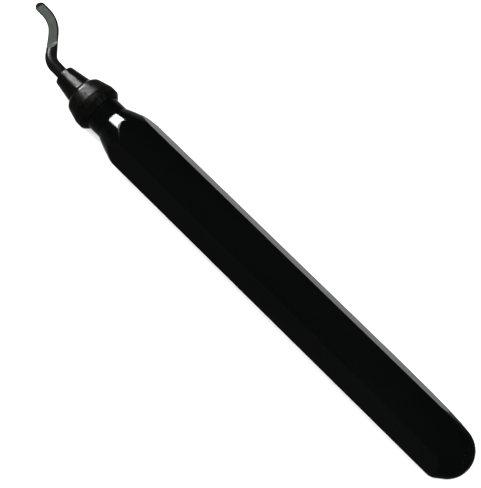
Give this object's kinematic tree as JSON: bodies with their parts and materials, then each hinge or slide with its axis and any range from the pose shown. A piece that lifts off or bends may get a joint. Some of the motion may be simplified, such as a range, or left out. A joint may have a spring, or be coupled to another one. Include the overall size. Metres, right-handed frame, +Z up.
{
  "type": "deburring tool",
  "caption": "Pen-sized hand deburring tool: flattened hexagonal handle, sliding ball-lock collar and a hooked scraper blade that swivels in it.",
  "frame": {"origin": "centre of the handle flat that the tool rests on", "axes": "+X along the tool towards the tail, +Z up out of the opposite flat, +Y the side the hook points to"},
  "size_m": [0.1613, 0.0177, 0.0127],
  "materials": {
    "handle_black": "black satin anodised",
    "sleeve_black": "black oxide with fine turning marks",
    "blade_steel": "dark hardened steel with a ground flat",
    "insert_steel": "turned steel",
    "spring_steel": "drawn wire",
    "ball_steel": "polished",
    "clip_steel": "phosphated spring steel"
  },
  "bodies": {
    "handle": {"handle": "handle_black", "spindle": "insert_steel", "retaining_clip": "clip_steel", "lock_spring": "spring_steel"},
    "collar": {"lock_sleeve": "sleeve_black"},
    "ball_1": {"lock_ball_1": "ball_steel"},
    "ball_2": {"lock_ball_2": "ball_steel"},
    "blade": {"blade": "blade_steel"}
  },
  "joints": [
    {"name": "collar_slide", "type": "slide", "parent": "handle", "child": "collar", "axis": [1, 0, 0], "range_m": [0, 0.002], "stiffness_N_per_m": 1200, "springref_m": -0.002, "deforming": ["lock_spring"]},
    {"name": "ball_1_lift", "type": "slide", "parent": "handle", "child": "ball_1", "axis": [0, 1, 0], "range_m": [0, 0.0005]},
    {"name": "ball_2_lift", "type": "slide", "parent": "handle", "child": "ball_2", "axis": [0, -1, 0], "range_m": [0, 0.0005]},
    {"name": "blade_swivel", "type": "hinge", "parent": "handle", "child": "blade", "pos_m": [-0.0796, 0, 0.00635], "axis": [1, 0, 0], "continuous": true}
  ],
  "couplings": [
    {"joint": "ball_1_lift", "follows": "collar_slide", "ratio": 0.25},
    {"joint": "ball_2_lift", "follows": "collar_slide", "ratio": 0.25}
  ]
}
